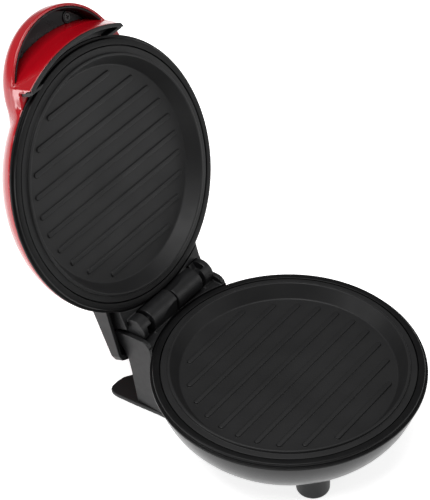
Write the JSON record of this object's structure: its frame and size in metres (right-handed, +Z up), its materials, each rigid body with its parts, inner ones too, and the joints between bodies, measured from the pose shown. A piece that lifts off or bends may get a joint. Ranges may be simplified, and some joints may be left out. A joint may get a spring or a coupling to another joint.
{
  "type": "panini press",
  "caption": "Small round panini press: hinged red domed lid with a finger recess, ribbed non-stick plates, glossy black bowl base on a rear post.",
  "frame": {"origin": "on the worktop, midway along the bounding box of the open press", "axes": "+Z up, +X to the right seen from the front, +Y to the rear, where the hinge is"},
  "size_m": [0.16, 0.2576, 0.2317],
  "materials": {
    "red_gloss": "deep red polished moulded plastic",
    "bowl_gloss": "polished black moulded plastic",
    "satin_black": "fine-textured satin black plastic",
    "nonstick": "dark grey non-stick coating on cast aluminium",
    "steel": "plain bright steel",
    "insulator": "ceramic or phenolic insulating part",
    "rubber_pad": "matt rubber"
  },
  "bodies": {
    "base": {"base_shell": "bowl_gloss", "base_bezel": "satin_black", "lower_plate": "nonstick", "lower_element": "steel", "lower_reflector": "steel", "lower_spacers": "insulator", "lower_plate_screws": "steel", "lower_thermostat": "insulator", "thermal_fuse": "insulator", "fuse_clip": "steel", "terminal_block": "insulator", "hinge_tower": "satin_black", "hinge_pin": "steel", "rear_foot": "satin_black", "rear_foot_pads": "rubber_pad", "rear_foot_screws": "steel", "front_foot_left": "satin_black", "front_foot_right": "satin_black", "front_foot_pads": "rubber_pad", "cord_gland": "rubber_pad"},
    "lid": {"lid_shell": "red_gloss", "handle_visor": "red_gloss", "handle_insert": "satin_black", "handle_screws": "steel", "lid_bezel": "satin_black", "lid_lip": "satin_black", "upper_plate": "nonstick", "upper_element": "steel", "upper_reflector": "steel", "upper_spacers": "insulator", "upper_plate_screws": "steel", "upper_thermal_limiter": "insulator", "lid_bracket": "satin_black"}
  },
  "joints": [
    {"name": "lid_hinge", "type": "hinge", "parent": "base", "child": "lid", "pos_m": [0, 0.0378, 0.0571], "axis": [1, 0, 0], "range_deg": [0, 112]}
  ]
}
